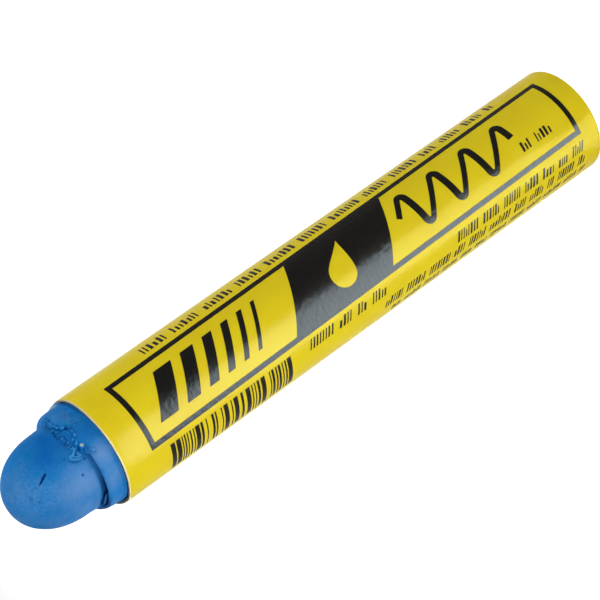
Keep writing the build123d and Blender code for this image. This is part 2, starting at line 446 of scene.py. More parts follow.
def tongue(nose):
    """A tongue of paint pressed down over the tear, undercut along its free edge."""
    azimuths = np.linspace(-16, -53, 26)
    knots, heights = (-53, -50, -45, -38, -30, -22, -16), (3.3, 3.6, 3.84, 3.98, 3.9, 3.62, 3.3)
    free_edge = list(zip(azimuths, through(knots, heights, azimuths)))
    loop = np.array([*free_edge, (-51, 2.2), (-42, 1.2), (-20, 1.2)])
    scale = np.array([radians(1) * 8.3, 1.0])  # a degree in mm at the tongue's radius, and 1 mm
    flat = np.stack([around(nose.azimuth, 0) + nose.above * 0, nose.above], -1)
    inside = within(flat.reshape(-1, 2), [loop]).reshape(nose.above.shape)
    from_edge, along = away_from_line(flat * scale, list(np.array(free_edge) * scale))
    share = ramp(along, 0.1, 0.45) * (1 - 0.5 * ramp(along, 0.9, 1))
    rim = 0.07 * bell(from_edge - 0.16, 0.13) + 0.03 * bell(from_edge, 1.1)
    rim = rim * ramp(from_edge, 0, 0.08)
    undercut = 0.13 * bell(from_edge - 0.09, 0.09) * ramp(along, 0.3, 0.6)
    nose.bump(np.where(inside, rim * share, -undercut))
    nose.tear(inside * ramp(share, 0, 0.4) * (from_edge < 0.4))
    nose.pale = nose.pale + 0.12 * inside * ramp(from_edge, 0.1, 0.9)


def wrinkles(nose):
    """Folds in the skin of the shoulder, each with a crease along its far side."""
    height = 0.05
    for places in (
        [(-45.9, 2.56, 8.65), (-45.6, 1.75, 8.65), (-43.8, 0.55, 8.7)],
        [(-52.9, 2.45, 8.65), (-54.1, 1.43, 8.65)],
        [(-34, 1.3, 8.65), (-39, 1.9, 8.6), (-43, 2.7, 8.6)],
        [(-60, 2.8, 8.6), (-57, 2.2, 8.6), (-59, 1.5, 8.65)],
        [(-13, 3.85, 8.4), (-20, 3.9, 8.3), (-26, 4.1, 8.1)],
    ):
        away, along = nose.along(*places)
        fade = ramp(along, 0, 0.25) * (1 - ramp(along, 0.75, 1))
        nose.bump(height * bell(away, 0.13) - height * bell(away - 0.24, 0.11), fade)


# Rows of torn crumbs: how many each has, how far they stray, and the row's own places.
CRUMB_ROWS = (
    (34, 0.24, (-9, 4.1, 7.8), (-16, 3.85, 8.3), (-20.3, 4.3, 7.6), (-32, 4.5, 7.5)),
    (96, 0.24, (-33, 4.45, 7.6), (-48, 4.6, 7.6), (-57, 4.8, 7.55), (-67, 4.7, 7.55),
     (-76, 4.45, 7.6)),
    (34, 0.16, (-46, 4.3, 7.8), (-56, 4.35, 7.8), (-66, 4.4, 7.8), (-76, 4.2, 7.8)),
    (38, 0.14, (-54, 3.6, 8.3), (-62, 3.75, 8.25), (-70, 3.9, 8.1), (-76, 3.8, 8.2)),
    (12, 0.22, (-56, 3.0, 8.6), (-62, 3.1, 8.6), (-68, 3.3, 8.5)),
    (8, 0.25, (-82, 3.1, 8.6), (-88, 2.9, 8.6), (-90, 2.4, 8.6)),
    (80, 0.24, (6, 4.1, 7.8), (22, 4.3, 7.7), (40, 4.1, 7.8), (60, 4.0, 7.8)),
)


def crumbs(nose):
    """Torn crumbs: rows of small grains of uneven size, with pits between them."""
    draw = np.random.default_rng(5)
    places, widths, heights = [], [], []
    for count, reach, *knots in CRUMB_ROWS:
        path = np.array(nose.line(*knots))
        where = draw.uniform(0, len(path) - 1, count)
        base = np.stack([np.interp(where, range(len(path)), path[:, k]) for k in range(3)], -1)
        places += list(base + draw.normal(0, reach * 0.5, base.shape))
        widths += list(draw.uniform(0.08, 0.27, count))
        heights += list(draw.uniform(0.04, 0.24, count))
        nose.tear(bell(nose.along(*knots)[0], 0.45))
    crease_size, crease_depth = 0.34, 0.1
    warp = np.stack([noise3(nose.points, crease_size, seed) for seed in (24, 25, 26)], -1)
    crumbled = lumps(nose.points + 0.12 * warp, places, widths, heights)
    nose.bump(crumbled, ramp(nose.radius - 7.3, 0, 0.3))
    beside = np.array(places[:250:5])
    for place in beside + draw.normal(0, 0.14, beside.shape):
        nose.bump(-draw.uniform(0.06, 0.22) * nose.near(place, 0.12))
    creases = crease_depth * noise3(nose.points, crease_size, 23)
    nose.bump(creases - crease_depth * (1 - grains3(nose.points, 0.4, 22)), nose.torn)


def pits(nose):
    """Air holes and dents, each with its place, width and depth."""
    for *place, width, depth in (
        (-53.2, 3.5, 8.5, 0.17, 0.34), (-22, 3.72, 8.3, 0.16, 0.2), (-17, 3.6, 8.5, 0.14, 0.16),
        (-8, 4.05, 8.0, 0.2, 0.18), (-42, 4.66, 7.65, 0.26, 0.18), (-47.5, 4.86, 7.62, 0.26, 0.18),
        (-53, 5.1, 7.6, 0.16, 0.14), (-78.6, 6.62, 7.55, 0.2, 0.15),
        (-106.6, 5.54, 7.6, 0.13, 0.3), (-109, 12.9, 5.3, 0.12, 0.16), (-100, 9.2, 7.1, 0.1, 0.07),
        (-58, 8.4, 7.3, 0.1, 0.06), (-39.6, 11.43, 6.3, 0.4, 0.04), (-25, 7.1, 7.5, 0.25, 0.06),
        (-132, 8.1, 7.3, 0.12, 0.07), (95, 7.6, 7.4, 0.22, 0.16), (140, 10.4, 6.7, 0.14, 0.14),
        (60, 9.8, 6.8, 0.12, 0.12), (118, 2.1, 8.6, 0.18, 0.14), (172, 6.4, 7.5, 0.14, 0.12),
        (-13, 0.32, 9.2, 0.2, 0.2), (-19, 0.22, 9.2, 0.2, 0.22), (-22, 0.62, 9.0, 0.12, 0.12),
        (-25, 0.2, 9.1, 0.2, 0.2), (-33, 0.75, 8.9, 0.12, 0.08), (-30, 1.35, 8.8, 0.11, 0.07),
    ):
        nose.bump(-depth * nose.near(nose.at(*place), width))


def flaps(nose):
    """Curled peelings of paint, and furrows, under a pale fleck. Gives the fleck's height."""
    for height, width, *places in (
        (0.13, 0.12, (-75.9, 4.37, 7.6), (-78.5, 4.85, 7.6), (-81, 5.3, 7.6)),
        (0.14, 0.15, (-80, 5.5, 7.58), (-83, 5.72, 7.57), (-86.5, 5.35, 7.58),
         (-88.6, 4.85, 7.6), (-89, 4.3, 7.6)),
        (0.12, 0.11, (-80.5, 5.15, 7.6), (-83.6, 5.1, 7.6), (-85.8, 4.75, 7.6),
         (-86.4, 4.3, 7.65)),
        (0.16, 0.12, (-81.5, 4.2, 7.7), (-83.5, 4.45, 7.65), (-85, 4.2, 7.7)),
        (0.12, 0.1, (-74.5, 3.95, 8.0), (-76.5, 4.25, 7.7), (-78, 4.6, 7.6)),
        (-0.11, 0.12, (-82.5, 6.12, 7.56), (-86.6, 5.85, 7.57), (-89.4, 5.3, 7.6),
         (-90.6, 4.5, 7.62)),
        (-0.26, 0.15, (-77.8, 3.98, 7.9), (-80, 4.12, 7.8), (-81.6, 4.05, 7.8)),
        (-0.2, 0.14, (-82.6, 3.62, 8.4), (-87, 3.85, 8.1), (-92, 4.0, 7.8)),
        (-0.12, 0.09, (-82, 4.75, 7.62), (-84.5, 4.62, 7.63)),
    ):
        nose.ridge(height, width, *places)
    grains = (
        ((-78.3, 3.52, 8.5), 0.24, 0.13), ((-79.8, 3.44, 8.5), 0.2, 0.09),
        ((-77.0, 3.62, 8.4), 0.17, 0.08), ((-78.8, 3.3, 8.6), 0.2, 0.07),
        ((-77.6, 3.36, 8.6), 0.17, 0.06),
    )
    places, widths, heights = zip(*grains)
    fleck = lumps(nose.points, [nose.at(*place) for place in places], widths, heights)
    nose.bump(fleck)
    nose.tear(nose.near(nose.at(-84, 4.9, 7.6), 1.2))
    return fleck


def crack(nose):
    """A nick in the dome that gapes in its middle, with a raised lip."""
    away, along = nose.along(
        (-78.6, 10.05, 6.8), (-80.4, 10.47, 6.6), (-82.7, 10.93, 6.4), (-84.9, 11.37, 6.2),
        (-86.3, 11.62, 6.0),
    )
    gape = 0.05 + 0.14 * np.sin(pi * np.clip(along, 0, 1) ** 0.75)
    opened = bell(away / gape, 1) * ramp(along, -0.01, 0.1) * (1 - 0.6 * ramp(along, 0.85, 1))
    nose.bump(0.04 * bell(away - 0.3, 0.12) - 0.42 * opened)


def nicks_and_bubbles(nose):
    """Nicks in the groove's outer wall, tiny bubbles all over, and dints on the dome."""
    for azimuth in (-112, -121, -130, -137, -142, -149):
        nose.bump(-0.09 * nose.near(nose.at(azimuth, 3.1, 8.4), 0.13))
    draw = np.random.default_rng(6)
    flat_points = nose.points.reshape(-1, 3)
    rows_left_out, bubbles, dints = 30, 150, 70
    first = rows_left_out * len(nose.azimuth)
    for index in draw.integers(first, len(flat_points), bubbles):
        height = draw.choice([-0.05, -0.035, 0.03])
        nose.bump(height * nose.near(flat_points[index], draw.uniform(0.07, 0.15)))
    for _ in range(dints):
        place = nose.at(draw.normal(-92, 26), draw.normal(12.3, 1.5), 5.4)
        nose.bump(draw.uniform(-0.05, 0.04) * nose.near(place, draw.uniform(0.12, 0.26)))


def painted_shade_map(nose):
    """Painted shade: 1 where paint lies in its own shade, in dents, the groove and its far end,
    and the creases of the tear.
    """
    painted_shade = np.clip(-nose.lift / 0.16, 0, 1)
    in_groove = ramp(nose.run, 3.5, 3.8)[:, None] * (1 - ramp(nose.above, 3.2, 3.9))
    in_groove = in_groove * nose.groove_share * (nose.run > 3.2)[:, None]
    deeper = 1 - ramp(around(nose.azimuth, GROOVE_AT + 6), -4, 16)
    painted_shade = np.maximum(painted_shade, in_groove * (0.55 + 0.4 * deeper))
    from_end = around(nose.azimuth, -171)
    shaded_end = ramp(from_end, -30, -12) * (1 - ramp(nose.above, 3.8, 4.3))
    shaded_end = shaded_end * (1 - ramp(from_end, 8, 24))
    painted_shade = np.maximum(painted_shade, shaded_end * (nose.run > 2.7)[:, None])
    between_crumbs = np.clip(nose.torn, 0, 1) * (1 - ramp(nose.lift, -0.02, 0.06))
    return np.maximum(painted_shade, 0.6 * between_crumbs)


def tones_and_painted_light(nose):
    """0 for deep paint and 1 for pale: random mottling, the tongue's paler inside, and listed
    patches of painted light, pale for painted sheen and deep for painted shade.
    """
    tone_and_painted_light = 0.5 + 0.16 * noise3(nose.points, 2.6, 31) + 0.08 * noise3(nose.points, 0.9, 32)
    tone_and_painted_light = tone_and_painted_light + nose.pale
    # patches of painted light: above 0 paints sheen, below 0 paints shade
    for *place, width, amount in (
        (-100, 1.7, 8.7, 1.8, 0.44), (-118, 5.2, 7.6, 2.2, 0.2), (-112, 6.8, 7.5, 3.0, 0.28),
        (-68, 8.4, 7.2, 2.4, -0.34), (-70, 1.6, 8.7, 2.2, -0.22), (-45, 6.5, 7.5, 2.6, -0.3),
        (-92, 13.2, 4.8, 3.0, 0.12), (-40, 15.0, 4.0, 2.6, 0.3), (-150, 9, 7.0, 4.0, 0.3),
        (-132, 1.9, 8.7, 1.8, 0.22),
    ):
        tone_and_painted_light = tone_and_painted_light + amount * nose.near(nose.at(*place), width)
    return np.clip(tone_and_painted_light, 0, 1)


def shade_marks(nose, fleck):
    """Colour for each point: painted highlight on raised torn paint, painted shade in dents and
    the groove, the pale fleck, and random mottling with patches of painted sheen and painted
    shade.
    """
    # Painted highlight: torn paint is made lighter where it stands up, as if its crests catch the
    # light.
    raised = np.clip((nose.lift - 0.02) / 0.12, 0, 1) * np.clip(nose.torn, 0, 1)
    dried = bell(around(nose.azimuth, 0), 14) * bell(nose.above - 0.8, 0.5)
    fleck = np.maximum(fleck, 0.1 * dried)
    return np.stack([raised, painted_shade_map(nose), 0.9 * ramp(fleck, 0.0, 0.16), tones_and_painted_light(nose)], -1)


PLAIN_PAINT = (0, 0, 0, 0.5)  # marks of paint with nothing on it
BUTT_CHAMFER = 0.3


def hidden_rings(turn):
    """The part inside the sleeve, and the butt with its slightly uneven face."""
    butt = [(radius, BUTT) for radius in (0.6, 2.6, 5.2, 7.4)]
    side = [(CORE_RADIUS, z) for z in (BUTT + BUTT_CHAMFER, 3.0, 35.0, 70.0, 100.0, 103.6)]
    radii, heights = np.transpose([*butt, (CORE_RADIUS - BUTT_CHAMFER, BUTT), *side])
    rings = polar(radii[:, None], turn, heights[:, None])
    face = rings[: len(butt)]
    face[..., 2] += np.clip(0.1 * noise3(face, 2.2, 51), 0, 1)
    return rings


def make_paint_stick():
    nose = Nose()
    for shape in (cast_unevenly, tongue, wrinkles, crumbs, pits):
        shape(nose)
    fleck = flaps(nose)
    crack(nose)
    nicks_and_bubbles(nose)
    nose.press()
    hidden = hidden_rings(nose.turn)
    rings = np.concatenate([hidden, nose.points])
    columns = len(nose.turn)
    count = len(rings) * columns
    points = np.concatenate([rings.reshape(-1, 3), [[0, 0, BUTT], [0, 0, TIP]]])
    faces = grid_faces(len(rings), columns)
    faces += fan(range(columns), count, False)
    faces += fan(range(count - columns, count), count + 1, True)
    plain = np.full((*hidden.shape[:2], 4), PLAIN_PAINT)
    marks = np.concatenate([plain, shade_marks(nose, fleck)]).reshape(-1, 4)
    marks = np.concatenate([marks, [PLAIN_PAINT] * 2])
    material = paint_material()
    paint_piece("paint_stick", points, faces, material, marks)
    make_flash(material)


def make_flash(material):
    """Thin fin of paint that stands in the groove, along its far end."""
    columns = 40
    share = np.linspace(0, 1, columns)
    turn = np.radians(np.linspace(-147, -177, columns))
    top = 3.22 + 0.26 * np.sin(pi * share) ** 0.7 + 0.04 * np.sin(17 * share)
    wander = 0.05 * np.sin(9 * share + 1)
    rows = []
    for radius, height in ((7.6, 2.2), (7.61, 2.9), (7.64, top), (7.66, top), (7.7, 2.9),
                           (7.72, 2.2)):
        rows.append(polar(radius + wander, turn, MOUTH + height))
    rows = np.array(rows)
    middle = rows.mean(0)
    thickness = 0.25 + 0.75 * np.clip(np.sin(pi * share) * 4, 0, 1)
    rows = middle + (rows - middle) * thickness[None, :, None]
    quads = np.reshape(grid_faces(len(rows), columns, closed=True), (len(rows), columns, 4))
    first = np.arange(len(rows)) * columns
    ends = [first.tolist(), (first[::-1] + columns - 1).tolist()]
    faces = quads[:, :-1].reshape(-1, 4).tolist() + ends
    # marks: half of the painted shade, since the fin stands in the groove, and a little paler than
    # plain paint
    marks = np.tile((0.0, 0.5, 0.0, 0.6), (rows[..., 0].size, 1))
    paint_piece("paint_flash", rows.reshape(-1, 3), faces, material, marks)


def paint_material():
    n = Nodes("waxy_blue_paint")
    marks = n.add("VertexColor", layer_name="marks")
    raised, painted_shade, fleck = n.add("SeparateColor", {"Color": marks["Color"]})
    tone_and_painted_light = marks["Alpha"]
    cloud = n.between(n.noise(240, 4, 0.6), 0.36, 0.66)
    fine = n.between(n.noise(1500, 3, 0.6), 0.35, 0.7)
    patch_middle = (0, -0.0045, TIP * MM - 0.0035)  # rubbed and dusty patch on the dome
    away = n.add("VectorMath", {0: n.place(), 1: patch_middle}, operation="DISTANCE")
    patch = n.between(away["Value"], 0.0068, 0.0028)
    speckle = n.between(n.noise(2900, 2, 0.7), 0.5, 0.66)
    dust = n.between(n.noise(2300, 3, 0.7), 0.54, 0.68)
    colour = n.mix(cloud, (0.004, 0.15, 0.45), (0.014, 0.182, 0.5))
    for share, other in (
        (n.times(fine, 0.25), (0.035, 0.235, 0.57)),
        # painted sheen towards 1 and painted shade towards 0, over random mottling
        (n.between(tone_and_painted_light, 0.5, 1.0), (0.09, 0.235, 0.51)),
        (n.between(tone_and_painted_light, 0.5, 0.0), (0, 0.11, 0.43)),
        # painted highlight on raised torn paint
        (n.times(raised, 0.8), (0.06, 0.33, 0.66)),
        # painted shade: dark blue where the paint lies in its own shade
        (n.times(painted_shade, 0.88), (0, 0.045, 0.18)),
        (fleck, (0.52, 0.6, 0.4)),
        (n.times(patch, n.times(speckle, 0.55)), (0.004, 0.125, 0.36)),
        (n.times(patch, n.times(dust, 0.3)), (0.075, 0.29, 0.58)),
    ):
        colour = n.mix(share, colour, other)
    bump = n.bump(n.noise(900, 4, 0.65), 0.00012)
    bump = n.bump(n.noise(4200, 2, 0.6), 0.00003, bump)
    rough = n.spread(cloud, 0.5, 0.62)
    return n.surface(Base_Color=colour, Roughness=rough, Normal=bump, Specular_IOR_Level=0.05)


# ---------- the wrapped label
LABEL_THICKNESS = 0.12
LABEL_STEP = 0.05  # the lap's outer layer stands this much over the one that it covers
LABEL_SINK = 0.014  # keeps the waves in the label's face inside its true radius
MOUTH_CRIMP = 0.06  # card and label draw in by this much at the mouth
MOUTH_SLANT = 0.24  # the mouth is cut lower by this much on one side
WHITE_MARGIN = 0.22  # unprinted edge of the label at the mouth
LAP_EDGE = 118.0  # azimuth of the lap's edge
LAP_FADE = 70.0  # degrees over which the lap's step is lost
SEAT = 0.002  # keeps faces that touch from lying in one place


def crimp(height):
    """How far card and label draw in at a height."""
    return MOUTH_CRIMP * ramp(np.asarray(height, float), MOUTH - 1.6, MOUTH + 0.4)


def slanted(points):
    """The points, lowered towards the mouth on the side where it is cut lower."""
    points = points.copy()
    azimuth = np.degrees(np.arctan2(points[..., 1], points[..., 0]))
    share = ramp(points[..., 2], MOUTH - 4, MOUTH)
    lower = 0.33 + 1 - ramp(abs(azimuth), 12, 72) + ramp(abs(azimuth), 145, 175)
    points[..., 2] -= MOUTH_SLANT * lower * share
    return points


def label_skin(arc, height):
    """Radius of the label's face at an arc length round from azimuth -90, and a height."""
    azimuth = np.degrees(arc / LABEL_RADIUS) - 90
    past = (azimuth - LAP_EDGE) % 360
    lap = (1 - ramp(past, 0, LAP_FADE)) * LABEL_STEP
    along_ridges = polar(LABEL_RADIUS, arc / LABEL_RADIUS, height * 0.06)
    waves = layered_noise(along_ridges, (0.006, 1.6, 61), (0.008, 4.3, 62))
    return LABEL_RADIUS - LABEL_STEP - LABEL_SINK + lap + waves - crimp(height)


def wrap(arc, height, lift=0.0):
    """Point of the label's face, from unrolled lengths."""
    return polar(label_skin(arc, height) + lift, arc / LABEL_RADIUS - pi / 2, height)


def make_label():
    around_stick = np.arange(420) / 420 * 2 * pi * LABEL_RADIUS
    before_lap = np.radians(LAP_EDGE + 90 - 0.05) * LABEL_RADIUS
    arc = np.sort(np.append(around_stick, before_lap))
    inner = LABEL_RADIUS - LABEL_THICKNESS + SEAT
    inner_heights = (MOUTH, MOUTH - 0.8, MOUTH - 1.6, MOUTH / 2, 0.0)
    rings = [polar(inner - crimp(h), arc / LABEL_RADIUS - pi / 2, h) for h in inner_heights]
    heights = [0.0, 0.04, 0.12, 0.4, *np.linspace(1.2, MOUTH - 1.6, 96), MOUTH - 1.2, MOUTH - 0.8]
    heights += [MOUTH - h for h in (0.5, WHITE_MARGIN, 0.03, 0.0)]
    softened = 0.1  # height of the softened edge at either end
    for height in heights:
        ring = wrap(arc, np.full(len(arc), height))
        from_end = min(height, MOUTH - height)
        if from_end < softened:
            ring[:, :2] *= 1 - (softened - from_end) * 0.25 / LABEL_RADIUS
        rings.append(ring)
    faces = grid_faces(len(rings), len(arc), closed=True)
    points = slanted(np.concatenate(rings))
    material = label_material()
    piece = piece_of("wrapped_label_skin", points, faces, material, ["wrapped_label"])
    piece.data.materials.append(paper_material())
    printed = range(len(inner_heights) + 1, len(rings) - 3)
    for polygon in piece.data.polygons:
        ring = polygon.index // len(arc)
        polygon.material_index = 0 if ring in printed else 1
        polygon.use_smooth = ring in printed or ring < len(inner_heights) - 1


def gloss_film(n):
    """Bump of the clear film's long ripples, the same over paper and ink."""
    return n.bump(n.noise(420, 3, 0.5, (1, 1, 0.12)), 0.00006)


def label_material():
    n = Nodes("yellow_label_gloss")
    cloud = n.between(n.noise(130, 3, 0.5), 0.3, 0.7)
    fine = n.between(n.noise(900, 2, 0.5), 0.3, 0.7)
    colour = n.mix(cloud, (0.765, 0.585, 0.012), (0.795, 0.65, 0.015))
    colour = n.mix(n.times(fine, 0.4), colour, (0.8, 0.61, 0.016))
    bump = n.bump(n.noise(2600, 2, 0.5), 0.00001, gloss_film(n))
    rough = n.spread(fine, 0.2, 0.27)
    return n.surface(Base_Color=colour, Roughness=rough, Normal=bump, Specular_IOR_Level=0.035)


def paper_material():
    n = Nodes("label_paper_edge")
    fibre = n.between(n.noise(3000, 3, 0.6), 0.35, 0.65)
    colour = n.mix(fibre, (0.56, 0.51, 0.27), (0.7, 0.65, 0.38))
    bump = n.bump(n.noise(5000, 2, 0.6), 0.00002)
    return n.surface(Base_Color=colour, Roughness=0.75, Normal=bump)


def make_card():
    """The card tube, drawn in at the mouth with the label, with a cut and fibrous end."""
    outer, inner, relief = LABEL_RADIUS - LABEL_THICKNESS, CORE_RADIUS + 0.05, 0.15
    below_mouth = (1.6, 1.2, 0.8, 0.4, 0.04)
    section = [(outer, z) for z in (0.0, 30.0, 70.0, *(MOUTH - h for h in below_mouth))]
    section += [(r, MOUTH) for r in (outer - 0.05, outer - 0.25, inner + relief)]
    section += [(inner, MOUTH - 1.2), (inner, 50.0), (inner, 0.0), (inner + 0.3, 0.0)]
    turn = np.radians(np.arange(0, 360, 1.5))
    rings = []
    for radius, height in section:
        drawn_in = crimp(height) if radius > inner + relief else 0.0
        ring = polar(radius - SEAT - drawn_in, turn, height)
        if height == MOUTH:
            ring[:, 2] -= np.clip(0.03 + 0.05 * noise3(ring, 0.5, 91), 0, 0.08)
        rings.append(ring)
    points = slanted(np.concatenate(rings))
    faces = grid_faces(len(rings), len(turn), closed=True)
    piece_of("card_tube_skin", points, faces, card_material(), ["card_tube"])


def card_material():
    """Wound grey-brown card: plies round the axis, cut fibres, and painted shade of the gap at its
    inner edge.
    """
    ply_thickness = 0.00016
    unshaded_beyond, shade_within = 0.00908, 0.00902
    n = Nodes("wound_card")
    x, y, _ = n.add("SeparateXYZ", {"Vector": n.place()})
    from_axis = n.math("POWER", n.math("ADD", n.times(x, x), n.times(y, y)), 0.5)
    ply = n.math("SINE", n.times(from_axis, 2 * pi / ply_thickness))
    fibre = n.between(n.noise(2600, 4, 0.65), 0.32, 0.68)
    colour = n.mix(fibre, (0.23, 0.19, 0.14), (0.42, 0.37, 0.29))
    colour = n.mix(n.between(ply, 0.3, 1.0), colour, (0.12, 0.085, 0.065))
    # painted shade: the card's inner edge is darkened to stand in for the shadow in the gap round
    # the paint
    painted_gap_shade = n.between(from_axis, unshaded_beyond, shade_within)
    colour = n.mix(painted_gap_shade, colour, (0.012, 0.035, 0.055))
    bump = n.bump(n.noise(4200, 3, 0.6), 0.00005, strength=0.7)
    return n.surface(Base_Color=colour, Roughness=0.9, Normal=bump)


# ---------- the print
FRAME_MIDDLE = 51.8  # height of the printed frame's middle
FRAME_RISE = 1.7  # how far round it is from azimuth -90
FRAME_SKEW = radians(0.94)  # the print is wound on a little askew
HALF_LENGTH, HALF_HEIGHT, FRAME_LINE = 48.0, 6.475, 0.95
BAND_MIDDLE, BAND_WIDTH = -3.6, 21.3
BAND_SLANT = radians(29.7)
INK_FILM = 0.026
INK_DEPTH = 0.02  # the film's lower face is this far inside the label
BORDER_STEPS = (0.4, 1.2)  # longest steps of a film's border: round the label, and up it
GRID_STEPS = (0.36, 1.2)  # between the points inside a film
SLIVER = 0.001  # a triangle with less area for its longest side is left out


def unrolled(outline):
    """(across, up) from the frame's middle to (arc, height) on the label."""
    across, up = np.asarray(outline, float).T
    height = FRAME_MIDDLE - across * cos(FRAME_SKEW) + up * sin(FRAME_SKEW)
    arc = FRAME_RISE + across * sin(FRAME_SKEW) + up * cos(FRAME_SKEW)
    return np.stack([arc, height], -1)


def finely(loop):
    """A closed outline with no step longer than the border's."""
    made = []
    for a, b in pairs(np.asarray(loop)):
        count = max(1, int(np.ceil((np.abs(b - a) / BORDER_STEPS).max())))
        made += [a + (b - a) * k / count for k in range(count)]
    return np.array(made)


def within(points, loops):
    """Whether each point is inside an odd number of the outlines."""
    odd = np.zeros(len(points), bool)
    for loop in loops:
        for a, b in pairs(loop):
            if a[1] == b[1]:
                continue
            spans = (a[1] > points[:, 1]) != (b[1] > points[:, 1])
            crossing = a[0] + (points[:, 1] - a[1]) / (b[1] - a[1]) * (b[0] - a[0])
            odd ^= spans & (points[:, 0] < crossing)
    return odd


def film(loops):
    """Flat triangles that fill the outlines: points, and triangles all turned one way."""
    loops = [finely(loop) for loop in loops]
    border = np.concatenate(loops)
    spans = zip(border.min(0), border.max(0), GRID_STEPS)
    grid = np.stack(np.meshgrid(*(np.arange(*span) for span in spans)), -1).reshape(-1, 2)
    grid = grid[within(grid, loops)]
    from_border = length((grid[:, None] - border[None]) / GRID_STEPS).min(1)
    flat = np.concatenate([border, grid[from_border > 0.45]])
    edges, first = [], 0
    for loop in loops:
        edges += pairs(range(first, first + len(loop)))
        first += len(loop)
    made = delaunay_2d_cdt([Vector(p) for p in flat], edges, [], 0, 1e-6)
    flat, triangles = np.array([tuple(p) for p in made[0]]), np.array(made[2])
    corners = flat[triangles]
    longest = length(corners - np.roll(corners, 1, axis=1)).max(1)
    across, up = np.moveaxis(corners[:, 1:] - corners[:, :1], -1, 0)
    area = (across[:, 0] * up[:, 1] - across[:, 1] * up[:, 0]) / 2  # below 0 where turned over
    triangles[area < 0] = triangles[area < 0][:, ::-1]
    sound = np.abs(area) > SLIVER * longest
    return flat, triangles[within(corners.mean(1), loops) & sound]


def print_piece(name, shapes, material):
    """Closed thin films of ink on the label, one for each shape, as one piece."""
    points, faces, normals, count = [], [], [], 0
    for loops in shapes:
        flat, triangles = film([unrolled(loop) for loop in loops])
        top, bottom = (wrap(*flat.T, lift) for lift in (INK_FILM, -INK_DEPTH))
        outward = unit(top * (1, 1, 0))
        below = count + len(flat)
        edges = {}
        for t in triangles.tolist():
            faces += [[count + k for k in t], [below + k for k in t[::-1]]]
            normals += [outward[k] for k in t] + [-outward[k] for k in t[::-1]]
            edges.update(dict.fromkeys(pairs(t)))
        for p, q in edges:
            if (q, p) not in edges:
                faces.append([below + p, below + q, count + q, count + p])
                normals += [unit(np.cross(top[q] - top[p], outward[p]))] * 4
        points += [top, bottom]
        count = below + len(flat)
    piece = piece_of(name, np.concatenate(points), faces, material, ["black_print"])
    piece.data.normals_split_custom_set([tuple(v) for v in normals])


def ink_material():
    n = Nodes("black_print_ink")
    cloud = n.between(n.noise(700, 3, 0.6), 0.35, 0.65)
    colour = n.mix(cloud, (0.0045, 0.0036, 0.0026), (0.0075, 0.006, 0.0044))
    bump = n.bump(n.noise(760, 4, 0.6, (1, 1, 1.6)), 0.00024, gloss_film(n))
    return n.surface(Base_Color=colour, Roughness=0.25, Normal=bump, Specular_IOR_Level=0.07)


def slab(left, right, low, high, left_lean=0, right_lean=0):
    """Outline with a lean for each side: how far it goes forward for its rise from 0."""
    return [
        (left + low * left_lean, low), (right + low * right_lean, low),
        (right + high * right_lean, high), (left + high * left_lean, high),
    ]


def drop_outline():
    """Drop that leans with the band: an oval foot drawn up to a point."""
    radius, top = 2.45, 4.2
    foot = radius - top
    handle = 0.5523 * radius  # makes a curve a quarter of a circle
    curves = (
        ((foot - radius, 0), (foot - radius, handle), (foot - handle, radius), (foot, radius)),
        ((foot, radius), (foot + handle, radius), (top / 2, radius / 4), (top, 0)),
    )
    half = []
    for a, b, c, d in np.array(curves):
        for t in np.linspace(0, 1, 14)[:-1]:
            u = 1 - t
            half.append(a * u**3 + 3 * b * t * u**2 + 3 * c * t**2 * u + d * t**3)
    half.append(np.array([top, 0]))
    whole = half + [p * (1, -1) for p in half[-2:0:-1]]
    s, c = sin(BAND_SLANT), cos(BAND_SLANT)
    return [(BAND_MIDDLE + a * s + b * c, a * c - b * s) for a, b in whole]


def rounded(knots, bend):
    """The line through the knots, with its corners rounded to the radius `bend`."""
    path = [knots[0]]
    for before, here, after in zip(knots[:-2], knots[1:-1], knots[2:]):
        to, on = unit(here - before), unit(after - here)
        turn = np.arccos(np.clip(to @ on, -1, 1))
        cut = bend * tan(turn / 2)
        side = np.sign(to[0] * on[1] - to[1] * on[0])
        middle = here - to * cut + side * bend * np.array([-to[1], to[0]])
        first = np.arctan2(*(here - to * cut - middle)[::-1])
        for t in np.linspace(0, 1, 12):
            angle = first + side * turn * t
            path.append(middle + bend * np.array([cos(angle), sin(angle)]))
    return np.array([*path, knots[-1]])


def wave_outline():
    """Drawn line in rounded waves, a little thinner where the pen goes up."""
    start, step, corner, bend, lean, line = 9.6, 3.75, 4.5, 0.8, 0.3, 1.15
    corners, thinning = 7, 0.16
    knots = [(start, 0.0)]
    for number in range(corners):
        rise = corner * (-1) ** number
        knots.append((start + (number + 0.5) * step + rise * lean, rise))
    knots.append((start + corners * step, 0.0))
    path = rounded(np.array(knots), bend)
    ahead = unit(np.gradient(path, axis=0))
    across = np.stack([-ahead[:, 1], ahead[:, 0]], -1)
    half = line / 2 * (1 - thinning * ahead[:, 1])[:, None]
    return np.concatenate([path + across * half, (path - across * half)[::-1]]).tolist()


def tick_row(start, end, low, high, lean, seed, pitch):
    """Groups of small upright ticks, as plain filler for a row of small print."""
    draw = np.random.default_rng(seed)
    shapes, across = [], start
    while across < end - pitch:
        for _ in range(int(draw.integers(3, 9))):
            width = pitch * draw.choice([0.22, 0.3, 0.42])
            top = high - (high - low) * draw.choice([0, 0, 0, 0.3])
            if across + width > end:
                break
            left = across - (low + high) / 2 * lean
            shapes.append([slab(left, left + width, low, top, lean, lean)])
            across += width + pitch * draw.uniform(0.26, 0.36)
        across += pitch * 0.95
    return shapes


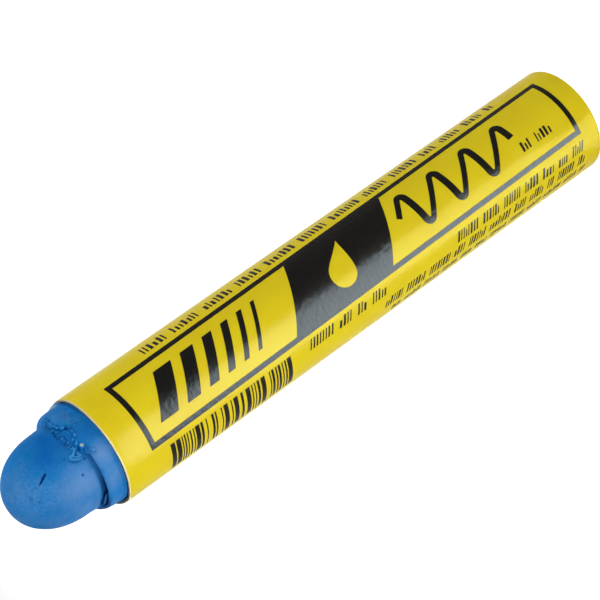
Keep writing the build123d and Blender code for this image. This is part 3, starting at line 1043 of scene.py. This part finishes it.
def made_up_bars(start, end, low, high, seed):
    """Upright bars of uneven width, which stand for no number."""
    draw = np.random.default_rng(seed)
    shares = [0.4, 0.3, 0.2, 0.1]
    shapes, across = [], start
    while across < end:
        width = draw.choice([0.22, 0.3, 0.45, 0.85], p=shares)
        shapes.append([slab(across, across + width, low, high)])
        across += width + draw.choice([0.26, 0.36, 0.62, 0.95], p=shares)
    return shapes


def frame_outlines():
    """The printed frame and band as one field: its border, two open panels and the drop."""
    lean, end, rise = tan(BAND_SLANT), HALF_LENGTH - FRAME_LINE, HALF_HEIGHT - FRAME_LINE
    left, right = BAND_MIDDLE - BAND_WIDTH / 2, BAND_MIDDLE + BAND_WIDTH / 2
    return [
        slab(-HALF_LENGTH, HALF_LENGTH, -HALF_HEIGHT, HALF_HEIGHT),
        slab(-end, left, -rise, rise, right_lean=lean),
        slab(right, end, -rise, rise, left_lean=lean),
        drop_outline(),
    ]


def stroke_bars():
    """Slanted bars, each narrower than the one before."""
    count, first_width, narrowing, gap, rise = 6, 3.6, 0.74, 1.9, 3.6
    lean, shapes, edge = tan(BAND_SLANT), [], -42.6
    for number in range(count):
        width = first_width * narrowing**number
        shapes.append([slab(edge, edge + width, -rise, rise, lean, lean)])
        edge += width + gap
    return shapes


def make_print():
    ink = ink_material()
    print_piece("print_frame", [frame_outlines()], ink)
    print_piece("print_strokes", [*stroke_bars(), [wave_outline()]], ink)
    rows = []
    for row in (
        (-15.5, 1.3, -9.25, -7.35, 0.3, 71, 1.15),
        (17.6, 48.0, -9.55, -7.65, 0.3, 72, 1.02),
        (0.8, 48.0, -12.1, -10.35, 0.3, 73, 0.95),
        (2.5, 48.0, -14.2, -13.1, 0.3, 74, 0.8),
        (-38.6, 39.8, 7.6, 9.7, 0.1, 75, 1.3),
        (36.2, 45.6, -3.25, -1.55, 0.1, 77, 1.2),
    ):
        rows += tick_row(*row)
    print_piece("print_rows", rows, ink)
    print_piece("print_bars", made_up_bars(-44.8, -19.2, -13.7, -7.6, 79), ink)


# ---------- floor, lamps, camera
def make_floor():
    """Pale floor that glows for the camera, and less for gloss."""
    reach, seen_glow, mirrored_glow = 6000, 0.72, 0.45
    n = Nodes("pale_floor")
    n.surface(Base_Color=(0.62, 0.62, 0.62), Roughness=0.9, Specular_IOR_Level=0.0)
    path = n.add("LightPath")
    mirrored = n.math("ADD", path["Is Glossy Ray"], path["Is Transmission Ray"])
    seen = n.times(path["Is Camera Ray"], seen_glow)
    glow = n.glow((1, 1, 1), n.math("ADD", seen, n.times(mirrored, mirrored_glow)))
    plain = n.tree.nodes["Principled BSDF"].outputs[0]
    both = n.add("AddShader", {0: plain, 1: glow})[0]
    corners = [(x, y, 0) for x, y in slab(-reach, reach, -reach, reach)]
    floor = mesh_piece("floor", corners, [range(4)], n.output(both))


def make_reflection_card():
    """Bright card lying beside the stick, faded towards it: only glossy surfaces see it."""
    beside_stick = [(-9.0, -4.0), (-7.2, -6.6), (-5.1, -8.3), (-1.6, -9.6), (-4.4, -12.4)]
    far_away = [(-10.4, -28), (-28, -262), (-250, -262), (-235, -92.5)]
    above_floor, full_glow, side_slope = 0.1, 37.0, 0.389
    n = Nodes("reflection_card_glow")
    x, y, _ = n.add("SeparateXYZ", {"Vector": n.place((1000, 1000, 1000))})  # in mm
    inwards = n.math("SUBTRACT", n.times(x, side_slope), y)
    strength = n.times(n.between(inwards, 1.5, 7.5), full_glow)
    material = n.output(n.glow((0.78, 0.92, 1), strength))
    corners = [(x, y, above_floor) for x, y in (beside_stick + far_away)[::-1]]
    card = mesh_piece("reflection_card", corners, [range(len(corners))], material)
    for kind in ("camera", "diffuse", "transmission", "shadow", "volume_scatter"):
        setattr(card, "visible_" + kind, False)


def make_lamp(name, place, side, power, shiny=False):
    """Square lamp turned to the middle of the stick. Where not shiny, gloss doesn't show it."""
    lamp = bpy.data.lights.new(name, "AREA")
    lamp.size = side * MM
    lamp.energy = power
    thing = in_scene(name, lamp)
    thing.location = Vector(place) * MM
    to_stick = Vector((0, 0, 60)) - Vector(place)
    thing.rotation_euler = to_stick.to_track_quat("-Z", "Y").to_euler()
    thing.visible_camera = False
    thing.visible_glossy = shiny


def make_world():
    """Faint light on the stick, but white where the camera or a glossy surface sees it."""
    n = Nodes("studio", "worlds")
    bpy.context.scene.world = n.owner
    path = n.add("LightPath")
    seen = path["Is Camera Ray"]
    for kind in ("Is Glossy Ray", "Is Transmission Ray"):
        seen = n.math("MAXIMUM", seen, path[kind])
    background = n.tree.nodes["Background"].inputs
    n.put(background["Color"], (1, 1, 1))
    n.put(background["Strength"], n.spread(seen, 0.06, 1.0))


def make_camera():
    """Camera in front of the stick and above it, turned so that the stick lies slanted."""
    camera = bpy.data.cameras.new("camera")
    camera.lens, camera.sensor_width = 156.0, 36.0
    camera.clip_start, camera.clip_end = 0.02, 20.0
    thing = in_scene("camera", camera)
    right = Vector((-0.57784, -0.37173, -0.72658))
    up = Vector((0.81615, -0.26453, -0.51374))
    back = right.cross(up).normalized()
    right = up.cross(back).normalized()
    turn = Matrix((right, back.cross(right), back)).transposed()
    thing.matrix_world = Matrix.Translation(Vector((0, -370.4, 250.4)) * MM) @ turn.to_4x4()
    bpy.context.scene.camera = thing


make_camera()
make_world()
make_floor()
make_reflection_card()
make_lamp("key_lamp", (-300, -200, 170), 180, 0.94)
make_lamp("front_lamp", (-60, -420, 260), 200, 0.22, shiny=True)
make_lamp("fill_lamp", (260, -220, 220), 200, 0.34)
make_lamp("nose_lamp", (220, -60, 420), 200, 0.87)
make_lamp("back_lamp", (60, 330, 200), 200, 0.5)

make_paint_stick()
make_label()
make_print()
make_card()

bpy.context.scene.view_settings.view_transform = "Standard"
